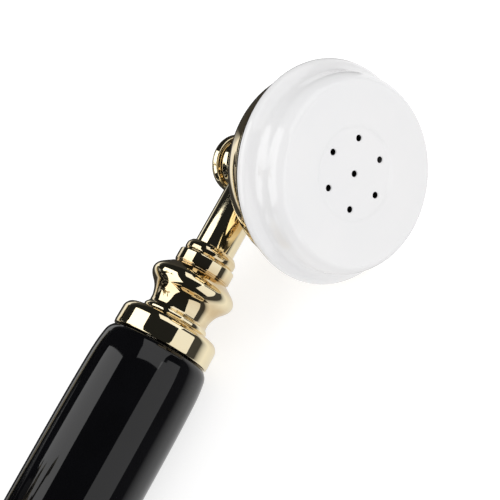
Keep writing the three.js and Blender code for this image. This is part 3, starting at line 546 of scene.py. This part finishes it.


# White moulding whose painted shade colour is near black, used for the shadow painted in the sound holes.
white_moulding = ("white_gloss", gloss(
    "white_moulding", (0.77, 0.765, 0.768), (0.745, 0.745, 0.752), (0.1, 0.17), coat=0.3, ripple=0.01,
    painted_shade=(0.004, 0.004, 0.004)))
straight = Matrix.Identity(4)
SOUND_CIRCLE, SOUND_PITCH, SOUND_TURN = 8.3, radians(60), radians(23)
# The walls of the drilled sound holes are painted near black as shadow, and these bounds say where.
BORE_EDGE, BORE_TOP, HOLE_SHADE = 0.75, 34.4, 2.5   # inside these a drilled hole's wall is dark
for end, place in head_place.items():
    cap = swept([
        (21, 21.8, 0.2), (22.6, 21.8, 0.2), (22.6, 23.6, 0.2), (26.1, 23.6, 0.7), (26.5, 24.9, 0.9),
        (26.2, 26.1, 0.9), (24.9, 26.8, 1), (23.8, 27.8, 1.2), (23.55, 29.6, 1.2), (23.5, 33.2, 1.6),
        (22.1, 35.5, 1.9), (20.6, 35.5, 1), (11.3, 34.75, 0.6), (10.6, 34.5, 0.5), (0, 34.5, 0), (0, 32.3, 0),
        (21, 32.3, 0.5),
    ], place, sides=160)
    drill = [(0, 31, 0), (0.68, 31, 0), (0.68, 34.2, 0.15), (1.1, 34.7, 0), (0, 34.7, 0)]
    holes = ringed(swept(drill, straight, sides=24), white_moulding, place, Copies=6, Circle=SOUND_CIRCLE * MM,
                   First_Angle=SOUND_TURN, Pitch=SOUND_PITCH)
    cap = carved(cap, "DIFFERENCE", holes, swept(drill, place, sides=24))
    to_head = place.inverted()
    # Painted shadow: each hole's wall gets the full painted shade, and the rest of the cap gets none.
    hole_shade = []
    for vertex in cap.vertices:
        x, y, z = (to_head @ vertex.co) / MM
        turn = SOUND_PITCH * round((atan2(y, x) - SOUND_TURN) / SOUND_PITCH) + SOUND_TURN
        off = min(hypot(x, y), hypot(x - SOUND_CIRCLE * cos(turn), y - SOUND_CIRCLE * sin(turn)))
        hole_shade.append(HOLE_SHADE if off < BORE_EDGE and z < BORE_TOP else 0.0)
    cap.attributes["painted_shade_mask"].data.foreach_set("value", hole_shade)
    finished(end + "_cap_moulded", cap, "handset", [end + "_cap"], white_moulding)

# ---- Inside the handset ----------------------------------------------------------------------------------
# A steel tube ties the two ends together through the grip, and the copper leads run inside it from one
# capsule to the other. Hexagon nuts hold the cups on the hubs.
def machined(name, base, worn, roughness, direction, lines=2600.0):
    """Bare metal with the fine lines that a tool leaves, drawn out along one axis, and a little tarnish."""
    made = gloss(name, base, worn, roughness, metallic=1.0, ripple=0.05)
    tree = made.node_tree
    shader = tree.nodes["Principled BSDF"]
    where = tree.nodes.new("ShaderNodeTexCoord").outputs["Object"]
    stretch = node(tree, "ShaderNodeMapping", Vector=where, Scale=direction)
    grain = node(tree, "ShaderNodeTexNoise", Vector=stretch.outputs[0], Scale=lines, Detail=3.0)
    cut = node(tree, "ShaderNodeBump", Height=grain.outputs["Fac"], Strength=0.12, Distance=0.0001)
    tree.links.new(cut.outputs[0], shader.inputs["Normal"])
    return made


def dress(finish, *names):
    """The CAD nodes that keep their own shape get their real finish."""
    for name in names:
        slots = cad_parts[name].data.materials
        slots.clear()
        slots.append(finish[1])


plated_steel = ("steel", machined(
    "plated_steel", (0.62, 0.63, 0.65), (0.5, 0.5, 0.5), (0.2, 0.42), (0.05, 1, 1)))
copper_wire = ("copper", machined(
    "copper_wire", (0.72, 0.33, 0.16), (0.5, 0.2, 0.09), (0.22, 0.45), (0.1, 1, 0.1)))
dress(plated_steel, "handset_tie_tube", "ear_ring_nut", "mouth_ring_nut", "ear_capsule", "mouth_capsule")
dress(copper_wire, "handset_leads")

# ---- Felt and foot ---------------------------------------------------------------------------------------
# A disc of pressed green felt keeps the base from scratching a table. Above it a rolled brass foot ring
# stands proud of the casing.
def pressed_felt():
    """Matted wool: short fibres in every direction, with thicker tufts."""
    made = bpy.data.materials.new("pressed_felt")
    made.use_nodes = True
    tree = made.node_tree
    shader = tree.nodes["Principled BSDF"]
    where = tree.nodes.new("ShaderNodeTexCoord").outputs["Object"]
    fibres = node(tree, "ShaderNodeTexNoise", Vector=where, Scale=2200.0, Detail=6.0, Roughness=0.7,
                  Distortion=1.5)
    tufts = node(tree, "ShaderNodeTexVoronoi", Vector=where, Scale=700.0)
    tone = blend(tree, fibres.outputs["Fac"], (0.012, 0.03, 0.02, 1), (0.05, 0.09, 0.065, 1))
    tree.links.new(tone, shader.inputs["Base Color"])
    height = maths(tree, "ADD", fibres.outputs["Fac"], tufts.outputs["Distance"])
    bump = node(tree, "ShaderNodeBump", Height=height, Strength=0.6, Distance=0.0003)
    tree.links.new(bump.outputs[0], shader.inputs["Normal"])
    shader.inputs["Roughness"].default_value = 0.95
    shader.inputs["Sheen Weight"].default_value = 0.3
    return made


felt = ("felt", pressed_felt())
turned("felt_pad_pressed", [
    (0, 0, 0), (72.5, 0, 0.3), (72.5, 1.5, 0.5), (0, 1.5, 0),
], straight, "base", ["felt_pad"], felt)
turned("foot_ring_rolled", [
    (66.5, 1.8, 0.2), (74.2, 1.8, 0.5), (75.6, 2.6, 1), (76.8, 4.2, 1.2), (77, 5.8, 1.2), (76.8, 7.4, 1.2),
    (75.6, 9, 1), (74.2, 9.8, 0.5), (66.5, 9.8, 0.2), (66.5, 6.1, 0.1), (60.5, 6.1, 0.2), (60.5, 4.1, 0.2),
    (66.5, 4.1, 0.1),
], straight, "base", ["foot_ring"], polished_brass)

# ---- Casing ----------------------------------------------------------------------------------------------
# The bell-shaped casing is spun from sheet, with a tilted drum brazed on for the dial, and it is stoved in
# black enamel. A moulded bush lines each of the two cord holes in its band.
black_enamel = ("black_enamel", gloss(
    "black_enamel", (0.004, 0.004, 0.005), (0.007, 0.007, 0.008), (0.035, 0.08), coat=0.4, ripple=0.03,
    cloud=25.0))
DIAL_Y, DIAL_Z, DIAL_TILT = -46.0, 50.0, radians(48)
dial_place = Matrix.Translation((0, DIAL_Y * MM, DIAL_Z * MM)) @ Matrix.Rotation(DIAL_TILT, 4, "X")
WALL, NECK_HEIGHT, BAND_RADIUS, BUSH_HEIGHT, BUSH_SPREAD = 3.0, 88.0, 74.5, 14.6, radians(14)


def bell(inset, steps=40):
    """The sweep of the bell from the shoulder above the band up to the neck."""
    foot, neck, low, high = 69.5 - inset, 17 - inset, 22.1 - inset, 82.0
    points = []
    for i in range(steps + 1):
        t = i / steps * pi / 2
        points.append((foot - (foot - neck) * sin(t) ** 1.1, high - (high - low) * cos(t) ** 1.1, 0))
    return points


def round_bar(radius, low, high, place=straight, sides=64):
    """A plain round bar, for cutting a bore or for a peg."""
    return swept([(0, low, 0), (radius, low, 0), (radius, high, 0), (0, high, 0)], place, sides)


bush_place = {
    side: Matrix.Rotation(-BUSH_SPREAD * side, 4, "Z")
    @ Matrix.Translation((0, BAND_RADIUS * MM, BUSH_HEIGHT * MM))
    @ Matrix.Rotation(radians(-90), 4, "X") for side in (-1, 1)
}
outside = swept([
    (0, 10.1, 0), (BAND_RADIUS, 10.1, 0.5), (BAND_RADIUS, 17.4, 1.2), (73.9, 18.8, 0.8), (72.5, 19.5, 0.6),
    (70.2, 20.3, 0.5), *bell(0)[1:], (17, NECK_HEIGHT, 0.3), (0, NECK_HEIGHT, 0),
], straight, sides=192)
inside = swept([
    (0, 8, 0), (71.5, 8, 0), (71.5, 17.1, 0.5), *bell(WALL),
    (14, NECK_HEIGHT - WALL, 0), (0, NECK_HEIGHT - WALL, 0),
], straight, sides=96)
drum = swept([(0, -36, 0), (40, -36, 0), (40, 0, 0.6), (0, 0, 0)], dial_place, sides=160)
shell = carved(outside, "UNION", drum)
shell = carved(shell, "DIFFERENCE", inside, round_bar(37, -33, 5, dial_place, 128), round_bar(150, -60, 10.1),
               round_bar(3.2, 80, 90), *[round_bar(3.6, -20, 20, place) for place in bush_place.values()])
finished("casing_enamelled", shell, "base", ["casing"], black_enamel, smooth=28)
for name, side in (("line_cord_bush", -1), ("handset_cord_bush", 1)):
    turned(name + "_moulded", [
        (1.9, 2.5, 0.5), (4.2, 2.5, 0.8), (5, 1.6, 0.4), (5, 0.6, 0.3), (3.3, 0.6, 0.1), (3.3, -5, 0.3),
        (1.9, -5, 0.3),
    ], bush_place[side], "base", [name], black_rubber, 64)

# ---- Base plate ------------------------------------------------------------------------------------------
# A steel plate closes the underside and carries the works. It is held by three countersunk screws with
# slotted heads.
dress(plated_steel, "base_plate")
screw = carved(swept([
    (0, 2, 0), (3, 2, 0.1), (1.5, 3.5, 0.1), (1.5, 11.8, 0.3), (0, 11.8, 0),
], straight, sides=40), "DIFFERENCE", meshed(
    [(x, y, z) for x in (-4, 4) for y in (-0.4, 0.4) for z in (1, 2.7)],
    [(0, 1, 3, 2), (4, 6, 7, 5), (0, 4, 5, 1), (2, 3, 7, 6), (0, 2, 6, 4), (1, 5, 7, 3)], straight))
finished("plate_screws_turned", ringed(screw, plated_steel, straight, Copies=3, Circle=54 * MM,
                                       First_Angle=radians(75), Pitch=radians(130)), "base",
         ["plate_screw_1", "plate_screw_2", "plate_screw_3"], plated_steel)

# ---- Neck and column -------------------------------------------------------------------------------------
# A beaded brass ring seats on the casing's neck, and a turned column stands on it and carries the cradle.
# The column is bored for the hook's rod and spring.
turned("neck_ring_polished", [
    (3.2, 88.3, 0.1), (18, 88.3, 0.3), (19.3, 88.9, 0.6), (19.8, 90.1, 0.7), (19.3, 91.3, 0.6),
    (18, 91.7, 0.4), (16, 92, 0.3), (15, 93, 0.4), (3.2, 93, 0.1),
], straight, "base", ["neck_ring"], polished_brass)
turned("column_polished", [
    (3.2, 93.3, 0.1), (14, 93.3, 0.4), (14.4, 94.5, 0.5), (13.2, 95.4, 0.4), (12, 95.9, 0.4),
    (9.4, 97.8, 2), (8.6, 100.8, 2), (9.4, 103.2, 1.6), (11.9, 105, 1.6), (12.6, 106.7, 1),
    (11.9, 108.4, 1.6), (9.5, 110.2, 1.2), (9.2, 111.6, 0.9), (11, 113.3, 1.4), (13.4, 115.1, 0.8),
    (13.6, 117.3, 0.3), (6, 117.3, 0.2), (6, 103.3, 0.2), (3.2, 103.3, 0.1),
], straight, "base", ["column"], polished_brass)

# ---- Cradle ----------------------------------------------------------------------------------------------
# The cradle is a cast brass bar with two forks pegged into its ends. Each fork is a U that the grip lies
# in, with a ball on each horn, and all its edges are eased by hand.
def plated(outline, low, high, place, ease=0.5):
    """A flat piece cut to an outline, with its edges eased."""
    count = len(outline)
    mesh = meshed([(x, y, z) for z in (low, high) for x, y in outline],
                  [list(range(count))[::-1], list(range(count, 2 * count))]
                  + [(i, (i + 1) % count, count + (i + 1) % count, count + i) for i in range(count)], place)
    holder = held(mesh)
    edge = holder.modifiers.new("ease", "BEVEL")
    edge.width, edge.segments, edge.limit_method, edge.angle_limit = ease * MM, 3, "ANGLE", radians(50)
    return evaluated(holder)


def arc(x, y, radius, start, stop, steps):
    """Points round part of a circle, between two angles in degrees."""
    return [(x + radius * cos(radians(start + (stop - start) * i / steps)),
             y + radius * sin(radians(start + (stop - start) * i / steps))) for i in range(steps + 1)]


BAR_HALF, BOSS, NARROW, DISC = 42.0, 15.0, 6.0, 8.0
boss_angle = degrees(asin(NARROW / BOSS))
side_angle = degrees(asin(NARROW / DISC))
bar_outline = [
    *arc(0, 0, BOSS, boss_angle, 180 - boss_angle, 24),
    *arc(-BAR_HALF, 0, DISC, side_angle, 360 - side_angle, 32),
    *arc(0, 0, BOSS, 180 + boss_angle, 360 - boss_angle, 24),
    *arc(BAR_HALF, 0, DISC, 180 + side_angle, 540 - side_angle, 32),
]
sockets = [round_bar(2.8, 117, 124, Matrix.Translation((side * BAR_HALF * MM, 0, 0))) for side in (-1, 1)]
bar = carved(plated(bar_outline, 117.6, 123.6, straight, 0.9), "DIFFERENCE", round_bar(6, 117, 124), *sockets)
finished("cradle_bar_cast", bar, "base", ["cradle_bar"], polished_brass)

SADDLE, FORK_OUTSIDE, SADDLE_CENTRE, FORK_LOW, HORN = 16.0, 21.5, 147.9, 123.9, 149.9
BALL, BALL_OUT, BALL_HEIGHT = 3.8, 19.4, 152.7
ball_profile = [(0, -BALL, 0), *[(*point, 0) for point in arc(0, 0, BALL, -80, 80, 20)], (0, BALL, 0)]
fork_outline = [
    (-7, FORK_LOW), (7, FORK_LOW), (6.2, FORK_LOW + 1.5), *arc(0, SADDLE_CENTRE, FORK_OUTSIDE, -72, -12, 16),
    (22, 146.2), (21.6, HORN), (17.2, HORN), *arc(0, SADDLE_CENTRE, SADDLE, -4, -176, 40), (-17.2, HORN),
    (-21.6, HORN), (-22, 146.2), *arc(0, SADDLE_CENTRE, FORK_OUTSIDE, 192, 252, 16), (-6.2, FORK_LOW + 1.5),
]
upright = Matrix(((0, 0, 1, 0), (1, 0, 0, 0), (0, 1, 0, 0), (0, 0, 0, 1)))
for name, side in (("left", -1), ("right", 1)):
    place = Matrix.Translation((side * BAR_HALF * MM, 0, 0))
    fork = plated(fork_outline, -4, 4, place @ upright, 1.1)
    balls = [swept(ball_profile, place @ Matrix.Translation((0, y * BALL_OUT * MM, BALL_HEIGHT * MM)), 48)
             for y in (-1, 1)]
    fork = carved(fork, "UNION", *balls, round_bar(2.5, 118.1, 125, place))
    finished("cradle_fork_" + name + "_cast", fork, "base", ["cradle_fork_" + name], polished_brass, 35)

# ---- Hook ------------------------------------------------------------------------------------------------
# The hung handset presses a black pad on a steel rod, against a coil spring in the column's bore. The rod
# runs down through the column and the neck ring to the switch inside the casing.
turned("hook_pad_turned", [
    (0, 130.4, 0), (8.4, 130.4, 0.4), (9, 131.2, 0.4), (9, 133.8, 0.8), (7.8, 135.4, 1), (5, 136.2, 1.5),
    (0, 136.4, 0),
], straight, "hook", ["hook_pad"], black_lacquer)
turned("hook_rod_ground", [
    (0, 32, 0), (0.9, 32, 0.2), (2.6, 34, 0.4), (2.6, 130.1, 0.2), (0, 130.1, 0),
], straight, "hook", ["hook_rod"], plated_steel, 48)


def coiled_wire():
    """A node tree that winds a round wire into a coil, upwards from the origin."""
    tree, given = shape_tree("coiled_wire", "Coil", ("Turns", "Float"), ("Coil Radius", "Float"),
                             ("Wire Radius", "Float"), ("Length", "Float"))
    helix = node(tree, "GeometryNodeCurveSpiral", Resolution=40, Rotations=given["Turns"],
                 Height=given["Length"], Start_Radius=given["Coil Radius"], End_Radius=given["Coil Radius"])
    section = node(tree, "GeometryNodeCurvePrimitiveCircle", Resolution=12, Radius=given["Wire Radius"])
    wire = node(tree, "GeometryNodeCurveToMesh", Curve=helix.outputs[0], Profile_Curve=section.outputs[0],
                Fill_Caps=True)
    return closed_tree(tree, given, wire.outputs[0])


# In use the spring's lower end stays in the bore, and its upper end goes down with the pad: 5 mm of its 26.5
# mm. Here it is built at full length on the base, and HOOK_TRAVEL is not used.
SPRING_LOW, SPRING_HIGH, SPRING_RADIUS, SPRING_WIRE, HOOK_TRAVEL = 103.6, 130.1, 4.4, 0.5, 5.0
spring_mesh = grown(coiled_wire(), plated_steel, Turns=5.0, Coil_Radius=SPRING_RADIUS * MM,
                    Wire_Radius=SPRING_WIRE * MM, Length=(SPRING_HIGH - SPRING_LOW - 2 * SPRING_WIRE) * MM)
spring_mesh.transform(Matrix.Translation((0, 0, (SPRING_LOW + SPRING_WIRE) * MM)))
spring = finished("hook_spring_coiled", spring_mesh, "base", ["hook_spring"], plated_steel)
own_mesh(spring)

# ---- Hook switch -----------------------------------------------------------------------------------------
# Inside, the rod tips a pressed steel lever on its stand, which works a block of contacts moulded in brown
# phenolic.
phenolic = ("phenolic", gloss(
    "brown_phenolic", (0.11, 0.045, 0.02), (0.2, 0.09, 0.045), (0.3, 0.5), ripple=0.08, cloud=260.0))
dress(plated_steel, "hook_lever", "lever_stand")
dress(phenolic, "switch_contacts", "terminal_block")

# ---- Dial ------------------------------------------------------------------------------------------------
# A brass bezel clamps a white enamelled number plate in the drum. Ten finger holes are punched and dished
# in the polished brass wheel, one over each printed figure, and a flat brass stop reaches in from the
# bezel.
turned("dial_bezel_polished", [
    (35.9, 0.3, 0.1), (40.9, 0.3, 0.3), (41.3, 0.9, 0.4), (41.3, 1.9, 0.6), (40.4, 2.7, 0.7),
    (37.6, 2.85, 0.6), (36.3, 2.5, 0.4), (35.9, 2, 0.3),
], dial_place, "base", ["dial_bezel"], polished_brass)
white_enamel = ("white_enamel", gloss(
    "white_enamel", (0.82, 0.81, 0.77), (0.78, 0.76, 0.7), (0.08, 0.16), coat=0.5, ripple=0.05, cloud=90.0))
turned("number_plate_enamelled", [
    (3.3, 0.3, 0.1), (35.6, 0.3, 0.1), (35.6, 1.4, 0.3), (3.3, 1.4, 0.1),
], dial_place, "base", ["number_plate"], white_enamel)
HOLES, HOLE_CIRCLE, FIRST_HOLE, HOLE_PITCH = 10, 25.2, 40, 30
FIGURE_SIZE, FIGURE_HEIGHT, INK = 7.4, 1.43, 0.02
figures = bmesh.new()
for i in range(HOLES):
    text = bpy.data.curves.new("figure", "FONT")
    text.body, text.size, text.extrude = str((i + 1) % HOLES), FIGURE_SIZE * MM, INK * MM
    text.align_x, text.align_y = "CENTER", "CENTER"
    figure = evaluated(bpy.data.objects.new("figure", text))
    angle = radians(FIRST_HOLE + i * HOLE_PITCH)
    spot = Vector((HOLE_CIRCLE * cos(angle), HOLE_CIRCLE * sin(angle), FIGURE_HEIGHT)) * MM
    figure.transform(dial_place @ Matrix.Translation(spot))
    figures.from_mesh(figure)
bmesh.ops.remove_doubles(figures, verts=figures.verts, dist=1e-7)
figures_mesh = bpy.data.meshes.new("figures")
figures.to_mesh(figures_mesh)
figures.free()
printed_black = ("black_enamel", gloss(
    "printed_black", (0.012, 0.012, 0.013), (0.02, 0.02, 0.021), (0.25, 0.4), ripple=0.05))
finished("dial_figures_printed", figures_mesh, "base", [], printed_black)
wheel = swept([
    (3.3, 3.6, 0.1), (33.6, 3.6, 0.3), (34, 4.1, 0.2), (34, 4.8, 0.25), (33.5, 5.1, 0.25), (3.3, 5.1, 0.1),
], dial_place, sides=192)
punch = [(0, 3, 0), (5.8, 3, 0), (5.8, 4.3, 0.3), (6.2, 4.9, 0.3), (6.4, 5.3, 0), (0, 5.3, 0)]
punches = ringed(swept(punch, straight, 64), polished_brass, dial_place, Copies=HOLES, Circle=HOLE_CIRCLE * MM,
                 First_Angle=radians(FIRST_HOLE), Pitch=radians(HOLE_PITCH))
finished("finger_wheel_punched", carved(wheel, "DIFFERENCE", punches), "dial", ["finger_wheel"], polished_brass)
turned("dial_centre_polished", [
    (0, 5.4, 0), (13, 5.4, 0.2), (13.6, 5.9, 0.3), (13.4, 6.5, 0.4), (11.2, 7.15, 0.6), (10.4, 7.2, 0.3),
    (8, 7.6, 1), (5, 7.95, 1), (0, 8.1, 0),
], dial_place, "dial", ["dial_centre"], polished_brass)
stop_place = dial_place @ Matrix.Rotation(radians(-22), 4, "Z")
strip = plated([*arc(24.2, 0, 2, 90, 270, 16), (40, -2), (40, 2)], 5.9, 7.1, stop_place, 0.3)
stop_foot = plated([(38, -3), (40, -3), (40, 3), (38, 3)], 3.1, 7.1, stop_place, 0.25)
finished("finger_stop_filed", carved(strip, "UNION", stop_foot), "base", ["finger_stop"], polished_brass, 35)

# ---- Dial works ------------------------------------------------------------------------------------------
# Behind the plate a steel frame carries the shaft, a brass gear and the governor, and a flat spiral spring
# returns the dial.
cut_brass = ("gear_brass", machined(
    "cut_brass", (0.75, 0.56, 0.25), (0.6, 0.42, 0.18), (0.2, 0.4), (1, 1, 0.1)))
dress(plated_steel, "dial_shaft", "governor", "dial_frame", "dial_spring")
dress(cut_brass, "dial_gear")

# ---- Ringer ----------------------------------------------------------------------------------------------
# Two brass gongs on posts with a clapper between them, worked by a pair of coils wound in varnished copper
# wire.
def wound_copper():
    """Fine wire laid side by side round each coil."""
    made = machined("wound_copper", (0.62, 0.24, 0.1), (0.45, 0.16, 0.07), (0.2, 0.4), (1, 0.1, 1))
    tree = made.node_tree
    where = tree.nodes.new("ShaderNodeTexCoord").outputs["Object"]
    turns = node(tree, "ShaderNodeTexWave", Vector=where, Scale=900.0, Distortion=0.6, Detail=1.0)
    turns.bands_direction = "Y"
    wire = node(tree, "ShaderNodeBump", Height=turns.outputs["Fac"], Strength=0.8, Distance=0.0002)
    tree.links.new(wire.outputs[0], tree.nodes["Principled BSDF"].inputs["Normal"])
    return made


coil_copper = ("copper", wound_copper())
dress(cut_brass, "gong_left", "gong_right", "clapper")
dress(plated_steel, "ringer_frame", "condenser")
dress(coil_copper, "ringer_coil_left", "ringer_coil_right")
